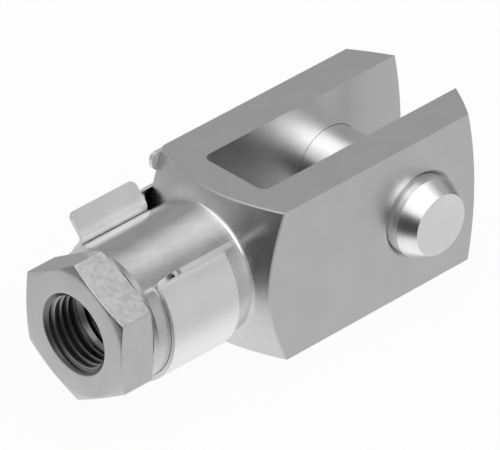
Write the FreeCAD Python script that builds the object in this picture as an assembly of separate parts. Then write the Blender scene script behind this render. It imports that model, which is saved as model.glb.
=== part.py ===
import FreeCAD, Part
import math
import os

# A rod clevis: a square fork with a turned neck, a lock nut against the neck,
# and a clevis pin riveted to the arm of a spring clip that snaps round the neck.
# Sizes are in millimetres and angles in degrees.
# The origin is the pin's centre between the ears. +X runs from the thread to the ears' ends,
# +Y points to the side that carries the clip's arm, and +Z is up.

# Fork body
FORK_WIDTH = 24.0
SLOT_WIDTH = 12.0
SLOT_DEPTH_BEHIND_PIN = 24.0
SLOT_CORNER_RADIUS = 1.3
NECK_END_TO_PIN = 48.0
NECK_DIAMETER = 20.0
NECK_END_CHAMFER = 0.5
NECK_ROOT_RADIUS = 0.7
SHOULDER_TO_PIN = 28.84        # where the shoulder's cone meets the middle of each face
SHOULDER_CONE_ANGLE = 58.9     # between the cone's side and its axis
SHOULDER_EDGE_BREAK = 0.15     # on the four arcs where the cone meets the faces
EAR_REACH = 14.15              # from the pin to the ears' ends, at the slot's walls
EAR_BEVEL_DROP = 3.5           # how far the ears' outer edges lie behind their ends
EAR_BEVEL_CROWN = 0.12         # how far the bevel bulges from a straight line
EAR_END_RADIUS = 62.2          # the ends are rounded about a line parallel to the pin
PIN_HOLE_CHAMFER = 0.5

# Thread M12 x 1.25, bored to its minor diameter
THREAD_MINOR_DIAMETER = 10.647
THREAD_MOUTH_CHAMFER = 0.85
THREAD_SLOT_CHAMFER = 0.6

# Lock nut
NUT_ACROSS_FLATS = 19.0
NUT_THICKNESS = 6.0
NUT_FACE_DIAMETER = 18.4
NUT_CHAMFER_ANGLE = 15.0

# Clevis pin
PIN_DIAMETER = 11.95
PIN_TIP_DIAMETER = 9.3
PIN_TIP_LENGTH = 2.6
PIN_PROJECTION = 1.45          # the full diameter stands this far out of the near ear
STUB_DIAMETER = 7.2
RIVET_HEAD_DIAMETER = 10.3
RIVET_HEAD_HEIGHT = 1.45
RIVET_HEAD_ROUNDING = 1.3

# Spring clip
SHEET = 0.66
COLLAR_LENGTH = 12.0
COLLAR_TO_NECK_END = 2.7
FAR_LIP_ANGLE = 42.0           # from straight up, to the lip's face towards the opening
NEAR_LIP_ANGLE = 43.6
LIP_TIP_RADIUS = 14.75         # from the neck's axis
LIP_INNER_BEND = 0.78
LIP_CORNER_RADIUS = 1.1
BRIDGE_WIDTH = 12.4
BRIDGE_END_TO_PIN = 28.9       # from here on the clip is flat
ARM_WIDTH = 22.4
ARM_REAR_TO_PIN = 27.8
ARM_CORNER_RADIUS = 0.95
RELIEF_DEPTH = 2.4             # the notches beside the bridge, from the arm's rear edge
RELIEF_WIDTH = 2.4

# Clearances
PIN_CLEARANCE = 0.05           # radial, in the ears
STUB_CLEARANCE = 0.05          # radial, in the arm
COLLAR_CLEARANCE = 0.06        # radial, round the neck
ARM_CLEARANCE = 0.05           # between the arm and the ear
NUT_CLEARANCE = 0.02           # between the nut and the neck's end

HALF_FORK = FORK_WIDTH / 2
HALF_SLOT = SLOT_WIDTH / 2
NECK_RADIUS = NECK_DIAMETER / 2
PIN_RADIUS = PIN_DIAMETER / 2
THREAD_RADIUS = THREAD_MINOR_DIAMETER / 2
COLLAR_INNER = NECK_RADIUS + COLLAR_CLEARANCE
COLLAR_OUTER = COLLAR_INNER + SHEET
COLLAR_REAR = COLLAR_TO_NECK_END - NECK_END_TO_PIN
COLLAR_FRONT = COLLAR_REAR + COLLAR_LENGTH
ARM_INNER = HALF_FORK + ARM_CLEARANCE
ARM_OUTER = ARM_INNER + SHEET

# Cutting tools run past the solid by this much.
OVERRUN = 1.0
# The bridge's curved faces are drawn through this many cross-sections and steps,
# and start this far inside the collar's sheet.
BRIDGE_SECTIONS = 7
BRIDGE_STEPS_ACROSS = 6
BRIDGE_SEAM = 0.02
# A side that is rounded all over keeps a straight edge of this length.
SHORTEST_EDGE = 0.05

ORIGIN = FreeCAD.Vector(0, 0, 0)
ALONG_X = FreeCAD.Vector(1, 0, 0)
ALONG_Y = FreeCAD.Vector(0, 1, 0)
ALONG_Z = FreeCAD.Vector(0, 0, 1)


def rounded_face(corners, place):
    """Flat face through the corners (u, v, radius), each rounded by its own radius.

    place turns the two flat coordinates u and v into a point in space.
    """
    flat = [FreeCAD.Vector(u, v, 0) for u, v, _ in corners]
    stretches = []
    for index, (_, _, radius) in enumerate(corners):
        here = flat[index]
        back = (flat[index - 1] - here).normalize()
        onward = (flat[(index + 1) % len(flat)] - here).normalize()
        half_angle = back.getAngle(onward) / 2
        reach = radius / math.tan(half_angle)
        inward = (back + onward).normalize() if radius else back
        top = here + inward * (radius / math.sin(half_angle) - radius)
        stretches.append((here + back * reach, top, here + onward * reach))
    edges = []
    for index, (start, top, end) in enumerate(stretches):
        if corners[index][2]:
            points = [place(point.x, point.y) for point in (start, top, end)]
            edges.append(Part.Arc(*points).toShape())
        following = stretches[(index + 1) % len(stretches)][0]
        if end.distanceToPoint(following) > 1e-6:
            edges.append(Part.makeLine(place(end.x, end.y), place(following.x, following.y)))
    return Part.Face(Part.Wire(Part.__sortEdges__(edges)))


def on_plan(x, y):
    return FreeCAD.Vector(x, y, 0)


def turned_about_x(profile):
    """Solid of revolution about the fork's axis, from corners (x, radius, rounding)."""
    return rounded_face(profile, on_plan).revolve(ORIGIN, ALONG_X, 360)


def turned_about_y(profile):
    """Solid of revolution about the pin's axis, from corners (radius, y, rounding)."""
    return rounded_face(profile, on_plan).revolve(ORIGIN, ALONG_Y, 360)


def thread_bore(rear, front, rear_chamfer, front_chamfer):
    """Cutter for a threaded bore on the fork's axis, with a 45 degree chamfer at each mouth."""
    return turned_about_x([
        (rear - OVERRUN, 0, 0),
        (rear - OVERRUN, THREAD_RADIUS + rear_chamfer + OVERRUN, 0),
        (rear + rear_chamfer, THREAD_RADIUS, 0),
        (front - front_chamfer, THREAD_RADIUS, 0),
        (front + OVERRUN, THREAD_RADIUS + front_chamfer + OVERRUN, 0),
        (front + OVERRUN, 0, 0),
    ])


def fork_turning():
    """The neck and the shoulder's cone, turned about the fork's axis."""
    slope = math.tan(math.radians(SHOULDER_CONE_ANGLE))
    neck_root = -SHOULDER_TO_PIN - (HALF_FORK - NECK_RADIUS) / slope
    clear_radius = HALF_FORK * math.sqrt(2) + OVERRUN
    cone_end = -SHOULDER_TO_PIN + (clear_radius - HALF_FORK) / slope
    front = EAR_REACH + OVERRUN
    return turned_about_x([
        (-NECK_END_TO_PIN, 0, 0),
        (-NECK_END_TO_PIN, NECK_RADIUS - NECK_END_CHAMFER, 0),
        (-NECK_END_TO_PIN + NECK_END_CHAMFER, NECK_RADIUS, 0),
        (neck_root, NECK_RADIUS, NECK_ROOT_RADIUS),
        (cone_end, clear_radius, 0),
        (front, clear_radius, 0),
        (front, 0, 0),
    ])


def ear_ends():
    """Disc about a line parallel to the pin, whose rim rounds and bevels the ears' ends."""
    axis_x = EAR_REACH - EAR_END_RADIUS
    rim_edge = EAR_REACH - EAR_BEVEL_DROP
    corner_inner = FreeCAD.Vector(EAR_REACH, HALF_SLOT, 0)
    corner_outer = FreeCAD.Vector(rim_edge, HALF_FORK, 0)
    bevel = corner_outer - corner_inner
    outward = FreeCAD.Vector(bevel.y, -bevel.x, 0).normalize()
    crown = corner_inner + bevel * 0.5 + outward * EAR_BEVEL_CROWN

    def mirrored(point):
        return FreeCAD.Vector(point.x, -point.y, 0)

    edges = [
        Part.Arc(corner_inner, crown, corner_outer).toShape(),
        Part.makeLine(corner_outer, FreeCAD.Vector(axis_x, HALF_FORK, 0)),
        Part.makeLine(FreeCAD.Vector(axis_x, HALF_FORK, 0), FreeCAD.Vector(axis_x, -HALF_FORK, 0)),
        Part.makeLine(FreeCAD.Vector(axis_x, -HALF_FORK, 0), mirrored(corner_outer)),
        Part.Arc(mirrored(corner_outer), mirrored(crown), mirrored(corner_inner)).toShape(),
        Part.makeLine(mirrored(corner_inner), corner_inner),
    ]
    rim = Part.Face(Part.Wire(edges))
    return rim.revolve(FreeCAD.Vector(axis_x, 0, 0), ALONG_Y, 360)


def fork_slot():
    """Cutter for the slot, with rounded corners at its bottom."""
    front = EAR_REACH + OVERRUN
    depth = HALF_FORK + OVERRUN
    outline = [
        (-SLOT_DEPTH_BEHIND_PIN, -HALF_SLOT, SLOT_CORNER_RADIUS),
        (front, -HALF_SLOT, 0),
        (front, HALF_SLOT, 0),
        (-SLOT_DEPTH_BEHIND_PIN, HALF_SLOT, SLOT_CORNER_RADIUS),
    ]
    floor = rounded_face(outline, lambda x, y: FreeCAD.Vector(x, y, -depth))
    return floor.extrude(ALONG_Z * 2 * depth)


def pin_hole():
    """Cutter for the hole through both ears, chamfered at the outer faces."""
    radius = PIN_RADIUS + PIN_CLEARANCE
    side = HALF_FORK + OVERRUN
    mouth = radius + PIN_HOLE_CHAMFER + OVERRUN
    chamfer_depth = HALF_FORK - PIN_HOLE_CHAMFER
    return turned_about_y([
        (0, -side, 0),
        (mouth, -side, 0),
        (radius, -chamfer_depth, 0),
        (radius, chamfer_depth, 0),
        (mouth, side, 0),
        (0, side, 0),
    ])


def break_shoulder_edges(blank):
    """Take the sharpness off the arcs where the cone meets the square's faces."""
    arcs = []
    for edge in blank.Edges:
        middle = edge.valueAt((edge.FirstParameter + edge.LastParameter) / 2)
        on_face = max(abs(middle.y), abs(middle.z)) > HALF_FORK - SHORTEST_EDGE
        bowed = middle.x < min(edge.Vertexes[0].X, edge.Vertexes[-1].X) - SHORTEST_EDGE
        if on_face and bowed:
            arcs.append(edge)
    return blank.makeChamfer(SHOULDER_EDGE_BREAK, arcs)


def fork_body():
    length = NECK_END_TO_PIN + EAR_REACH + OVERRUN
    corner = FreeCAD.Vector(-NECK_END_TO_PIN, -HALF_FORK, -HALF_FORK)
    bar = Part.makeBox(length, FORK_WIDTH, FORK_WIDTH, corner)
    blank = break_shoulder_edges(bar.common(fork_turning())).common(ear_ends())
    bore = thread_bore(-NECK_END_TO_PIN, -SLOT_DEPTH_BEHIND_PIN,
                       THREAD_MOUTH_CHAMFER, THREAD_SLOT_CHAMFER)
    return blank.cut([fork_slot(), pin_hole(), bore])


def jam_nut():
    """Thin hexagon nut, chamfered on both faces, with two corners up and down."""
    front = -NECK_END_TO_PIN - NUT_CLEARANCE
    rear = front - NUT_THICKNESS
    corner_radius = NUT_ACROSS_FLATS / math.sqrt(3)
    corners = []
    for index in range(6):
        angle = math.radians(60 * index)
        corners.append((corner_radius * math.sin(angle), corner_radius * math.cos(angle), 0))
    outline = rounded_face(corners, lambda y, z: FreeCAD.Vector(rear, y, z))
    prism = outline.extrude(ALONG_X * NUT_THICKNESS)
    face_radius = NUT_FACE_DIAMETER / 2
    clear_radius = corner_radius + OVERRUN
    chamfer_run = (clear_radius - face_radius) * math.tan(math.radians(NUT_CHAMFER_ANGLE))
    envelope = turned_about_x([
        (rear, 0, 0),
        (rear, face_radius, 0),
        (rear + chamfer_run, clear_radius, 0),
        (front - chamfer_run, clear_radius, 0),
        (front, face_radius, 0),
        (front, 0, 0),
    ])
    bore = thread_bore(rear, front, THREAD_MOUTH_CHAMFER, THREAD_MOUTH_CHAMFER)
    return prism.common(envelope).cut(bore)


def clevis_pin():
    """Pin with a tapered tip, and a riveted stub that holds the clip's arm."""
    shank_end = -HALF_FORK - PIN_PROJECTION
    tip_end = shank_end - PIN_TIP_LENGTH
    stub_radius = STUB_DIAMETER / 2
    head_radius = RIVET_HEAD_DIAMETER / 2
    head_end = ARM_OUTER + RIVET_HEAD_HEIGHT
    return turned_about_y([
        (0, tip_end, 0),
        (PIN_TIP_DIAMETER / 2, tip_end, 0),
        (PIN_RADIUS, shank_end, 0),
        (PIN_RADIUS, ARM_INNER, 0),
        (stub_radius, ARM_INNER, 0),
        (stub_radius, ARM_OUTER, 0),
        (head_radius, ARM_OUTER, 0),
        (head_radius, head_end, RIVET_HEAD_ROUNDING),
        (0, head_end, 0),
    ])


def across(radius, angle):
    """Point of the rear collar plane, at an angle from straight up towards the far side."""
    turn = math.radians(angle)
    return FreeCAD.Vector(COLLAR_REAR, radius * math.sin(turn), radius * math.cos(turn))


def lip_outline(angle, side):
    """Section of one radial lip, on the far side (1) or the near side (-1) of the opening.

    Returns its edges, the angle at which it leaves the collar's round, and its tip's middle.
    """
    outer_bend = LIP_INNER_BEND + SHEET
    centre_radius = COLLAR_INNER + outer_bend
    bend_turn = math.degrees(math.asin(outer_bend / centre_radius))
    start = angle + side * bend_turn
    axis_point = across(0, 0)
    centre = across(centre_radius, start)
    down_the_side = across(1, angle + side * 90) - axis_point
    to_axis = (axis_point - centre).normalize()
    to_middle = (to_axis - down_the_side).normalize()
    upper_root = across(centre_radius * math.cos(math.radians(bend_turn)), angle)
    upper_tip = across(LIP_TIP_RADIUS, angle)
    lower_root, lower_tip = (point + down_the_side * SHEET for point in (upper_root, upper_tip))
    edges = [
        Part.Arc(across(COLLAR_INNER, start), centre + to_middle * outer_bend, upper_root).toShape(),
        Part.makeLine(upper_root, upper_tip),
        Part.makeLine(upper_tip, lower_tip),
        Part.makeLine(lower_tip, lower_root),
        Part.Arc(lower_root, centre + to_middle * LIP_INNER_BEND,
                 across(COLLAR_OUTER, start)).toShape(),
    ]
    return edges, start, (upper_tip + lower_tip) * 0.5


def clip_collar():
    """Open collar round the neck, which ends in a radial lip on each side of its opening."""
    far_edges, far_start, far_tip = lip_outline(FAR_LIP_ANGLE, 1)
    near_edges, near_start, near_tip = lip_outline(-NEAR_LIP_ANGLE, -1)
    bottom = (far_start + near_start) / 2 + 180
    rounds = [Part.Arc(across(radius, far_start), across(radius, bottom),
                       across(radius, near_start)).toShape()
              for radius in (COLLAR_INNER, COLLAR_OUTER)]
    section = Part.Wire(Part.__sortEdges__(far_edges + near_edges + rounds))
    strip = Part.Face(section).extrude(ALONG_X * COLLAR_LENGTH)
    for tip in (far_tip, near_tip):
        strip = round_lip_corners(strip, tip)
    return strip


def round_lip_corners(strip, tip):
    """Round the two corners of a lip, which run across its thickness."""
    corners = []
    for side in (0, COLLAR_LENGTH):
        spot = tip + ALONG_X * side
        corners.append(min(strip.Edges, key=lambda edge: (edge.CenterOfMass - spot).Length))
    return strip.makeFillet(LIP_CORNER_RADIUS, corners)


def bridge_section(share):
    """Cross-section of the bridge, at a share of the way from the collar to the arm."""
    run = BRIDGE_END_TO_PIN + COLLAR_FRONT
    x = COLLAR_FRONT - share * run
    rise = share * share * (3 - 2 * share)
    steepness = 6 * share * (1 - share) / run

    def side(collar_radius, arm_side, sheet):
        """One face of the strip, climbing from the collar's round to the flat arm."""
        points = []
        for step in range(BRIDGE_STEPS_ACROSS + 1):
            z = BRIDGE_WIDTH * (step / BRIDGE_STEPS_ACROSS - 0.5)
            foot = math.sqrt(collar_radius ** 2 - z ** 2)
            slope = steepness * (arm_side - foot)
            thickening = math.sqrt(1 + slope ** 2) - 1
            points.append(FreeCAD.Vector(x, foot + (arm_side - foot) * rise + sheet * thickening, z))
        return points

    inner = side(COLLAR_INNER + BRIDGE_SEAM, ARM_INNER, 0)
    outer = side(COLLAR_OUTER - BRIDGE_SEAM, ARM_OUTER, SHEET)
    return Part.Wire([
        curve_through(inner),
        Part.makeLine(inner[-1], outer[-1]),
        curve_through(outer[::-1]),
        Part.makeLine(outer[0], inner[0]),
    ])


def curve_through(points):
    curve = Part.BSplineCurve()
    curve.interpolate(points)
    return curve.toShape()


def clip_bridge():
    """Formed strip that flattens from the collar's round and steps out to the arm."""
    last = BRIDGE_SECTIONS - 1
    sections = [bridge_section(index / last) for index in range(BRIDGE_SECTIONS)]
    return Part.makeLoft(sections, True, False)


def clip_arm():
    """Flat plate on the far ear, from the bridge to a round end about the pin."""
    half_bridge = BRIDGE_WIDTH / 2
    half_arm = ARM_WIDTH / 2
    relief_width = min(RELIEF_WIDTH, (half_arm - half_bridge) / 2)
    relief_radius = min(relief_width - SHORTEST_EDGE, RELIEF_DEPTH) / 2
    relief_side = half_bridge + relief_width
    relief_bottom = RELIEF_DEPTH - ARM_REAR_TO_PIN
    corner_radius = min(ARM_CORNER_RADIUS, relief_width / 2 - SHORTEST_EDGE)
    end_radius = half_arm - SHORTEST_EDGE / 2
    upper = [
        (-BRIDGE_END_TO_PIN, half_bridge, 0),
        (relief_bottom, half_bridge, relief_radius),
        (relief_bottom, relief_side, relief_radius),
        (-ARM_REAR_TO_PIN, relief_side, corner_radius),
        (-ARM_REAR_TO_PIN, half_arm, ARM_CORNER_RADIUS),
        (half_arm, half_arm, end_radius),
    ]
    lower = [(x, -z, radius) for x, z, radius in reversed(upper)]
    outline = rounded_face(upper + lower, lambda x, z: FreeCAD.Vector(x, ARM_INNER, z))
    hole = Part.makeCylinder(STUB_DIAMETER / 2 + STUB_CLEARANCE, SHEET + 2 * OVERRUN,
                             FreeCAD.Vector(0, ARM_INNER - OVERRUN, 0), ALONG_Y)
    return outline.extrude(ALONG_Y * SHEET).cut(hole)


def spring_clip():
    return clip_collar().fuse([clip_bridge(), clip_arm()]).removeSplitter()


def main():
    os.makedirs("parts", exist_ok=True)
    nodes = {
        "fork_body": fork_body(),
        "jam_nut": jam_nut(),
        "spring_clip": spring_clip(),
        "clevis_pin": clevis_pin(),
    }
    for name, shape in nodes.items():
        shape.exportStep(os.path.join("parts", name + ".step"))
        print(name, len(shape.Solids), "solid,", round(shape.Volume, 2), "mm3, valid", shape.isValid())


main()
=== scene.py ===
import math

import bpy
from mathutils import Matrix, Vector


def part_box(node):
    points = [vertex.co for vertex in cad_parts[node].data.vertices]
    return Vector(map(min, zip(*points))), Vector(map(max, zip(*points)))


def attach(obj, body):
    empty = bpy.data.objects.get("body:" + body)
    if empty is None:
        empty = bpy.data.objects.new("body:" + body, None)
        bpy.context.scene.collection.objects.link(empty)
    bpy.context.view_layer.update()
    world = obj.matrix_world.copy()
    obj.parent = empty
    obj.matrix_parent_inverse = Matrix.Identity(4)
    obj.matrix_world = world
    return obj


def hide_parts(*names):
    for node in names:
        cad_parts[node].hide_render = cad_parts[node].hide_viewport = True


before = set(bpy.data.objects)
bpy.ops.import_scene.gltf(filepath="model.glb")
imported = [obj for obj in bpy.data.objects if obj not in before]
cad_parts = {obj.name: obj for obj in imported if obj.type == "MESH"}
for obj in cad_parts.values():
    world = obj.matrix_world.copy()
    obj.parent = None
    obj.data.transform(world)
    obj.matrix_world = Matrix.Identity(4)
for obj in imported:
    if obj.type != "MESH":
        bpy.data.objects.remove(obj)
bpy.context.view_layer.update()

# A rod clevis on a pale studio floor. Everything is in metres, in the frame of the part:
# the origin is the pin's centre, +X runs to the ears' ends, +Y to the clip's arm and +Z up.

MM = 0.001

# Places of the fork and the nut, read from the part itself
FORK_LOW, FORK_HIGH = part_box("fork_body")
HALF_FORK = FORK_HIGH.z
NUT_FACE_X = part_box("jam_nut")[0].x

# Thread M12 x 1.25
PITCH = 1.25 * MM
THREAD_MAJOR_RADIUS = 6.0 * MM
THREAD_MINOR_RADIUS = 5.3235 * MM
THREAD_FLANK = math.radians(30)
THREAD_STEPS = 64
SLOT_BOTTOM = -24.0 * MM

# The shoulder's cone: its radius is half the fork's width at this place, and grows at this slope
SHOULDER_X = -28.84 * MM
SHOULDER_SLOPE = 1.658

# The nut's flat face ends at this radius, where a shallow chamfer begins
NUT_FACE_RADIUS = 9.2 * MM
NUT_CHAMFER_SLOPE = math.tan(math.radians(15))
NUT_EDGE_BREAK = 0.08 * MM

# A small dark pit in the plate, at the rear corner of the clip's near lip
LIP_PIT = Vector((-45.0, -10.31, 10.13)) * MM

# Corners of a mesh that lie closer than this are one
MERGE_DISTANCE = 0.0005 * MM

# Camera at the photograph's viewing angle
CAMERA_PLACE = Vector((-0.612856, -0.624637, 0.570497))
CAMERA_YAW = math.radians(46.541)
CAMERA_PITCH = math.radians(-33.437)
CAMERA_ROLL = math.radians(-0.793)
CAMERA_LENS = 541.64
SENSOR_WIDTH = 36.0

# Floor, a hair under the fork
FLOOR_SIZE = 1.6
FLOOR_Z = FORK_LOW.z - 0.02 * MM

# Soft lights of the studio: azimuth, elevation, how far from there each is full and where it
# ends, all in degrees, and its strength
STUDIO_LIGHTS = {
    "overhead": (40.0, 80.0, 4.0, 42.0, 0.72),
    "rear": (-142.0, 48.0, 8.0, 34.0, 0.8),
    "near": (-92.0, 52.0, 14.0, 28.0, 1.2),
    "far": (108.0, 0.0, 10.0, 40.0, 0.1),
    "side": (-48.0, 4.0, 8.0, 34.0, 0.22),
}

# Dark flags in the same terms, each with the share of the light that it takes away
STUDIO_FLAGS = {
    "rear": (-166.0, -4.0, 4.0, 40.0, 0.86),
    "front": (8.0, -8.0, 6.0, 34.0, 0.45),
}

BLACK = (0.0, 0.0, 0.0, 1.0)
WHITE = (1.0, 1.0, 1.0, 1.0)
PAPER = (0.85, 0.85, 0.85, 1.0)


class Wire:
    """A socket in a tree of shader nodes. Arithmetic on it adds the matching Math nodes."""

    def __init__(self, tree, socket=None):
        self.tree = tree
        self.socket = socket

    def node(self, kind, settings=None, inputs=None):
        """New node of a type, with its settings and the values or links of its sockets."""
        node = self.tree.nodes.new(kind)
        for name, value in (settings or {}).items():
            setattr(node, name, value)
        for name, value in (inputs or {}).items():
            if isinstance(value, Wire):
                self.tree.links.new(value.socket, node.inputs[name])
            else:
                node.inputs[name].default_value = value
        return node

    def add(self, kind, settings=None, inputs=None, output=0):
        """One output of a new node."""
        return Wire(self.tree, self.node(kind, settings, inputs).outputs[output])

    def maths(self, operation, *values):
        return self.add("ShaderNodeMath", {"operation": operation}, dict(enumerate(values)))

    def __add__(self, other):
        return self.maths("ADD", self, other)

    def __sub__(self, other):
        return self.maths("SUBTRACT", self, other)

    def __rsub__(self, other):
        return self.maths("SUBTRACT", other, self)

    def __mul__(self, other):
        return self.maths("MULTIPLY", self, other)

    def __truediv__(self, other):
        return self.maths("DIVIDE", self, other)

    __radd__ = __add__
    __rmul__ = __mul__

    def root(self):
        return self.maths("SQRT", self)

    def size(self):
        """This value without its sign."""
        return (self * self).root()

    def step(self, low, high, start=0.0, end=1.0):
        """Smooth climb from start to end while this value goes from low to high."""
        settings = {"interpolation_type": "SMOOTHSTEP"}
        inputs = {0: self, 1: low, 2: high, 3: start, 4: end}
        return self.add("ShaderNodeMapRange", settings, inputs)

    def above(self, low, high):
        """1 where this place is past a soft edge given in millimetres, and 0 before it."""
        return self.step(low * MM, high * MM)

    def below(self, low, high):
        """1 where this place is before a soft edge given in millimetres, and 0 past it."""
        return self.step(low * MM, high * MM, 1.0, 0.0)

    def between(self, low, high):
        """Cloudy value spread from low to high."""
        return self.step(0.3, 0.7, low, high)

    def blend(self, first, second):
        """Colour between two, this value being the share of the second."""
        settings = {"data_type": "RGBA"}
        return self.add("ShaderNodeMix", settings, {0: self, 6: first, 7: second}, output=2)

    def parts(self):
        """The three parts of a vector."""
        split = self.node("ShaderNodeSeparateXYZ", None, {0: self})
        return [Wire(self.tree, socket) for socket in split.outputs]

    def noise(self, scale, detail=2.0, roughness=0.5, stretch=(1.0, 1.0, 1.0)):
        """Cloudy value about one half, from a place."""
        placed = self.add("ShaderNodeMapping", None, {"Vector": self, "Scale": stretch})
        inputs = {"Vector": placed, "Scale": scale, "Detail": detail, "Roughness": roughness}
        return self.add("ShaderNodeTexNoise", None, inputs)


def empty_tree(owner):
    """Wire to the cleared nodes of a material or a world."""
    owner.use_nodes = True
    owner.node_tree.nodes.clear()
    return Wire(owner.node_tree)


def metal(finish):
    """Bare metal. The finish works out its brightness and its roughness from the place."""
    material = bpy.data.materials.new(finish.__name__)
    wire = empty_tree(material)
    level, roughness = finish(wire.add("ShaderNodeTexCoord", output="Object"))
    shader = wire.add("ShaderNodeBsdfPrincipled", None, {
        "Metallic": 1.0, "Base Color": level.blend(BLACK, WHITE), "Roughness": roughness})
    wire.node("ShaderNodeOutputMaterial", None, {"Surface": shader})
    return material


def fork_steel(place):
    """Satin milled faces on the square, and a bright turned neck and shoulder."""
    x, y, z = place.parts()
    radius = (y * y + z * z).root()
    height = z.size()
    clouds = place.noise(170.0, 3.0, 0.55)
    streaks = place.noise(700.0, 4.0, 0.65, (0.4, 1.0, 1.0))

    # Milled square and turned shoulder and neck, which meet on the cone's edge
    cone_x = (radius - HALF_FORK) / SHOULDER_SLOPE + SHOULDER_X
    turned = (cone_x - x).above(-0.05, 0.02)
    milled_level = clouds.between(0.61, 0.63)
    turned_level = clouds.step(0.35, 0.65, 0.62, 0.65) + (streaks - 0.5) * 0.22
    level = milled_level + turned * (turned_level - milled_level)

    # The neck has a radius of 10 mm, and above its middle light is thrown on it by the cone.
    # That light is painted: a painted highlight on the neck by its root and on the cone round
    # the root, and a painted reflection of the clip's far lip on the neck beside it. Painted
    # shade darkens the shoulder behind the clip's bridge.
    upper_turned = turned * z.above(1.0, 5.0)
    on_neck = radius.below(10.03, 10.1) * upper_turned
    on_cone = radius.above(10.2, 10.8)
    fillet = radius.above(10.04, 10.12) * radius.below(10.6, 10.8) * upper_turned
    # Painted highlight on the cone round the neck's root, at the top
    halo = radius.above(10.04, 10.3) * radius.below(10.4, 12.2) * turned * z.above(7.0, 10.0)
    # Painted highlight on the neck next to its root
    root_highlight = on_neck * x.above(-31.8, -29.4)
    # Painted reflection of the clip's far lip on the neck beside it
    beside_lip = on_neck * y.above(3.0, 4.1) * x.below(-34.2, -33.2)
    # Painted shade on the shoulder behind the clip's bridge
    behind_bridge = y.above(9.4, 10.4) * z.below(5.8, 6.6) * turned

    # Inside the slot: painted shade at its closed end, and painted light on the walls by the
    # pin, where the pin's highlight is reflected. Painted shade darkens the bore
    in_slot = y.size().below(6.02, 6.06) * x.above(-24.1, -24.05) * height.below(11.9, 11.97)
    slot_end = (x + height * 0.9).below(-9.0, -3.0) * in_slot
    by_pin = x.above(-17.0, -9.0) * x.below(-1.0, 4.0) * in_slot
    bore = radius.below(6.1, 6.4) * x.below(-25.0, -24.5)

    # Painted highlights and reflections lighten the metal, and painted shade darkens it
    lighter = root_highlight * 0.26 + beside_lip * 0.34 + by_pin * 0.2
    darker = (1.0 - behind_bridge * 0.6) * (1.0 - slot_end * 0.5) * (1.0 - bore * 0.45)
    milled_roughness = in_slot.step(0.0, 1.0, 0.34, 0.38)
    turned_roughness = streaks.between(0.18, 0.23) + on_cone * 0.08 + fillet * 0.14
    return ((level + lighter) * darker + halo * 0.16,
            milled_roughness + turned * (turned_roughness - milled_roughness))


def nut_zinc(place):
    """Zinc plate with a fine mottle on one flat, painted shade in the bore, at its mouth and on
    the upper corners of the outer face's chamfer, and painted glints on the thread's crests.
    """
    x, y, z = place.parts()
    radius = (y * y + z * z).root()
    clouds = place.noise(300.0, 3.0, 0.5)
    mottle = place.noise(1300.0, 4.0, 0.65)

    # Distance from the axis towards the flat that looks up and to the near side
    across = z * 0.866 - y * 0.5
    upper_flat = across.above(9.42, 9.48)
    cone_x = (radius - NUT_FACE_RADIUS) * NUT_CHAMFER_SLOPE + NUT_FACE_X
    # Painted shade on the upper corners of the outer face's chamfer, in the bore and at the
    # bore's mouth
    corners = (cone_x - x).above(-0.03, 0.03) * radius.above(9.3, 9.8) * across.above(6.0, 8.0)
    bore = radius.below(6.0, 6.2)
    mouth = bore * (x - NUT_FACE_X).below(0.5, 0.9)
    # Painted glints on the thread's crests
    crest = (radius - THREAD_MINOR_RADIUS).below(0.03, 0.12)

    plain = clouds.between(0.62, 0.66)
    mottled = mottle.step(0.36, 0.64, 0.57, 0.7)
    level = plain + upper_flat * (mottled - plain)
    darker = (1.0 - bore * 0.55) * (1.0 - corners * 0.75) * (1.0 - mouth * 0.35)
    return level * darker + crest * 0.36, clouds.between(0.27, 0.33) + upper_flat * 0.06


def clip_steel(place):
    """Smooth bright plate on spring steel."""
    x, y, z = place.parts()
    radius = (y * y + z * z).root()
    clouds = place.noise(150.0, 2.0)

    # The pit in the near lip, with painted shade round it that dulls the lip's rear corner
    from_pit = place.add("ShaderNodeVectorMath", {"operation": "DISTANCE"},
                         {0: place, 1: LIP_PIT}, output="Value")
    pit = from_pit.below(0.14, 0.26)
    lip_corner_shade = from_pit.below(0.9, 1.7)

    # Painted shade on the arm's face towards the fork, but for its rear corner, which stands
    # clear
    inner_face = y.above(10.9, 11.3) * y.below(12.07, 12.12) * x.above(-30.5, -29.9)
    corner = inner_face * z.above(6.6, 7.4)
    bend = y.above(4.0, 5.0) * z.above(4.0, 5.0) * radius.below(11.2, 12.4)

    darker = (1.0 - pit * 0.93) * (1.0 - lip_corner_shade * 0.62) * (1.0 - (inner_face - corner) * 0.85)
    return (clouds.between(0.89, 0.93) * darker,
            clouds.between(0.3, 0.36) + bend * 0.14 + corner * 0.4)


def pin_steel(place):
    """Bright turned steel with faint rings about the pin's axis."""
    rings = place.noise(500.0, 3.0, 0.6, (0.02, 1.0, 0.02))
    clouds = place.noise(160.0, 2.0)
    return clouds.between(0.85, 0.91), rings.between(0.21, 0.26)


def deselect_all():
    for thing in bpy.context.selected_objects:
        thing.select_set(False)


def focus(piece):
    """Select one object alone and make it the active one."""
    deselect_all()
    piece.select_set(True)
    bpy.context.view_layer.objects.active = piece


def apply_modifier(piece, kind, **settings):
    """Add a modifier with its settings, and apply it."""
    focus(piece)
    modifier = piece.modifiers.new(kind.lower(), kind)
    for name, value in settings.items():
        setattr(modifier, name, value)
    bpy.ops.object.modifier_apply(modifier=modifier.name)


def merge_corners(piece):
    """Join the corners of a mesh that lie on each other, and drop what hangs loose."""
    focus(piece)
    bpy.ops.object.mode_set(mode="EDIT")
    bpy.ops.mesh.select_all(action="SELECT")
    bpy.ops.mesh.remove_doubles(threshold=MERGE_DISTANCE)
    bpy.ops.mesh.delete_loose()
    bpy.ops.object.mode_set(mode="OBJECT")


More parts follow.
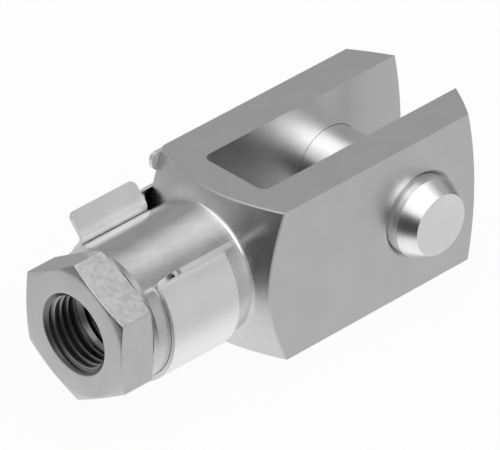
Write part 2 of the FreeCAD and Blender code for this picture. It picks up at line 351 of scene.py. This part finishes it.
def merged_copy(node, name):
    """Copy of a node's mesh in one joined skin, which takes the node's place."""
    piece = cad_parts[node].copy()
    piece.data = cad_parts[node].data.copy()
    piece.name = piece.data.name = name
    bpy.context.scene.collection.objects.link(piece)
    merge_corners(piece)
    bpy.ops.mesh.customdata_custom_splitnormals_clear()
    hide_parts(node)
    return piece


def thread_tap():
    """Helical cutter of the thread's groove, which runs past both ends of the bores."""
    start = NUT_FACE_X - 2 * PITCH
    turns = math.ceil((SLOT_BOTTOM - start) / PITCH) + 2

    # The groove's section: a flat root, an eighth of the pitch wide, and a mouth inside the bore
    overlap = 0.25 * MM
    inner = THREAD_MINOR_RADIUS - overlap
    half_root = PITCH / 16
    half_mouth = half_root + (THREAD_MAJOR_RADIUS - THREAD_MINOR_RADIUS + overlap) * math.tan(
        THREAD_FLANK)
    corners = [(-half_root, THREAD_MAJOR_RADIUS), (half_root, THREAD_MAJOR_RADIUS),
               (-half_mouth, inner), (half_mouth, inner)]
    deselect_all()
    bpy.ops.mesh.primitive_plane_add(size=1.0)
    tap = bpy.context.object
    tap.name = "thread_tap"
    for vertex, (x, radius) in zip(tap.data.vertices, corners):
        vertex.co = (start + x, 0.0, radius)
    bpy.ops.object.mode_set(mode="EDIT")
    bpy.ops.mesh.select_all(action="SELECT")
    bpy.ops.mesh.delete(type="ONLY_FACE")
    bpy.ops.object.mode_set(mode="OBJECT")

    # The section's outline winds along the axis, and its two open ends are filled
    apply_modifier(tap, "SCREW", axis="X", angle=math.tau, screw_offset=PITCH,
                   iterations=turns, steps=THREAD_STEPS, render_steps=THREAD_STEPS,
                   use_merge_vertices=False)
    bpy.ops.object.mode_set(mode="EDIT")
    bpy.ops.mesh.select_all(action="DESELECT")
    bpy.ops.mesh.select_non_manifold()
    bpy.ops.mesh.fill()
    bpy.ops.mesh.select_all(action="SELECT")
    bpy.ops.mesh.normals_make_consistent(inside=False)
    bpy.ops.object.mode_set(mode="OBJECT")
    return tap


def cut_thread(piece, tap):
    apply_modifier(piece, "BOOLEAN", operation="DIFFERENCE", object=tap, solver="EXACT")
    merge_corners(piece)


def smooth(piece, angle):
    """Smooth shading, with creases where faces meet at more than the angle in degrees."""
    focus(piece)
    bpy.ops.object.shade_smooth_by_angle(angle=math.radians(angle))


def dress(piece, body, material):
    """Let a piece ride a body and its finish."""
    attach(piece, body)
    piece.data.materials.clear()
    piece.data.materials.append(material)


def finish_node(node, material):
    """Give a piece of the part its finish as it stands."""
    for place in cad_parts[node].material_slots:
        place.material = material


def build_pieces():
    """The fork and the nut with their thread, and the clip and its pin as they are."""
    tap = thread_tap()
    fork = merged_copy("fork_body", "fork")
    cut_thread(fork, tap)
    smooth(fork, 25.0)
    dress(fork, "fork", metal(fork_steel))
    nut = merged_copy("jam_nut", "lock_nut")
    apply_modifier(nut, "BEVEL", width=NUT_EDGE_BREAK, segments=2, limit_method="ANGLE",
                   angle_limit=math.radians(40))
    cut_thread(nut, tap)
    smooth(nut, 35.0)
    apply_modifier(nut, "WEIGHTED_NORMAL", keep_sharp=True)
    dress(nut, "nut", metal(nut_zinc))
    finish_node("spring_clip", metal(clip_steel))
    finish_node("clevis_pin", metal(pin_steel))
    bpy.data.objects.remove(tap)


def build_floor():
    """Pale floor under the fork, white to the camera but for the object's soft shadow."""
    deselect_all()
    bpy.ops.mesh.primitive_grid_add(x_subdivisions=8, y_subdivisions=8, size=FLOOR_SIZE,
                                    location=(0.0, 0.0, FLOOR_Z))
    floor = bpy.context.object
    floor.name = "studio_floor"
    material = bpy.data.materials.new("floor_white")
    wire = empty_tree(material)
    from_camera = wire.add("ShaderNodeLightPath", output="Is Camera Ray")
    paper = wire.add("ShaderNodeBsdfDiffuse", None, {"Color": PAPER})
    glow = wire.add("ShaderNodeEmission", None, {"Color": WHITE, "Strength": 1.0})
    mixed = wire.add("ShaderNodeMixShader", None, {0: from_camera * 0.94, 1: paper, 2: glow})
    wire.node("ShaderNodeOutputMaterial", None, {"Surface": mixed})
    floor.data.materials.append(material)
    floor.visible_glossy = False


def towards(azimuth, elevation):
    """Unit direction, azimuth from +X towards +Y, in degrees."""
    a, e = math.radians(azimuth), math.radians(elevation)
    return (math.cos(a) * math.cos(e), math.sin(a) * math.cos(e), math.sin(e))


def nearness(direction, azimuth, elevation, inner, outer):
    """1 within the inner angle of an azimuth and elevation, falling to 0 at the outer one."""
    dot = direction.add("ShaderNodeVectorMath", {"operation": "DOT_PRODUCT"},
                        {0: direction, 1: towards(azimuth, elevation)}, output="Value")
    return dot.step(math.cos(math.radians(outer)), math.cos(math.radians(inner)))


def build_world():
    """White to the camera; for light and reflections a soft studio with two dark flags."""
    world = bpy.data.worlds.new("studio")
    bpy.context.scene.world = world
    wire = empty_tree(world)
    from_camera = wire.add("ShaderNodeLightPath", output="Is Camera Ray")
    direction = wire.add("ShaderNodeTexCoord", output="Generated")

    # A pale table below, which darkens towards the horizon, and the even grey of the room above
    level = direction.parts()[2].step(-1.0, -0.1, 0.98, 0.4)
    for *place, strength in STUDIO_LIGHTS.values():
        level = level + nearness(direction, *place) * strength
    for *place, share in STUDIO_FLAGS.values():
        level = level * (1.0 - nearness(direction, *place) * share)
    studio = wire.add("ShaderNodeBackground", None, {"Color": WHITE, "Strength": level})
    white = wire.add("ShaderNodeBackground", None, {"Color": WHITE, "Strength": 1.0})
    mixed = wire.add("ShaderNodeMixShader", None, {0: from_camera, 1: studio, 2: white})
    wire.node("ShaderNodeOutputWorld", None, {"Surface": mixed})


def build_lamp(name, azimuth, elevation, distance, size, power):
    """Round soft lamp that points at the object."""
    data = bpy.data.lights.new(name, "AREA")
    data.shape = "DISK"
    data.size = size
    data.energy = power
    lamp = bpy.data.objects.new(name, data)
    bpy.context.scene.collection.objects.link(lamp)
    place = Vector(towards(azimuth, elevation)) * distance
    lamp.location = place
    lamp.rotation_mode = "QUATERNION"
    lamp.rotation_quaternion = (-place).to_track_quat("-Z", "Y")
    lamp.visible_camera = False


def build_camera():
    """Camera where the photograph's was."""
    forward = Vector((math.cos(CAMERA_PITCH) * math.cos(CAMERA_YAW),
                      math.cos(CAMERA_PITCH) * math.sin(CAMERA_YAW),
                      math.sin(CAMERA_PITCH)))
    level_right = Vector((math.sin(CAMERA_YAW), -math.cos(CAMERA_YAW), 0.0))
    level_up = level_right.cross(forward)
    right = level_right * math.cos(CAMERA_ROLL) + level_up * math.sin(CAMERA_ROLL)
    up = level_up * math.cos(CAMERA_ROLL) - level_right * math.sin(CAMERA_ROLL)
    data = bpy.data.cameras.new("camera")
    data.sensor_fit = "HORIZONTAL"
    data.sensor_width = SENSOR_WIDTH
    data.lens = CAMERA_LENS
    data.clip_start = 0.05
    data.clip_end = 5.0
    camera = bpy.data.objects.new("camera", data)
    bpy.context.scene.collection.objects.link(camera)
    turn = Matrix((right, up, -forward)).transposed()
    camera.matrix_world = Matrix.Translation(CAMERA_PLACE) @ turn.to_4x4()
    bpy.context.scene.camera = camera


build_pieces()
build_floor()
build_world()
build_lamp("overhead", azimuth=-15.0, elevation=82.0, distance=0.6, size=0.3, power=0.12)
build_camera()
bpy.context.scene.view_settings.view_transform = "Standard"
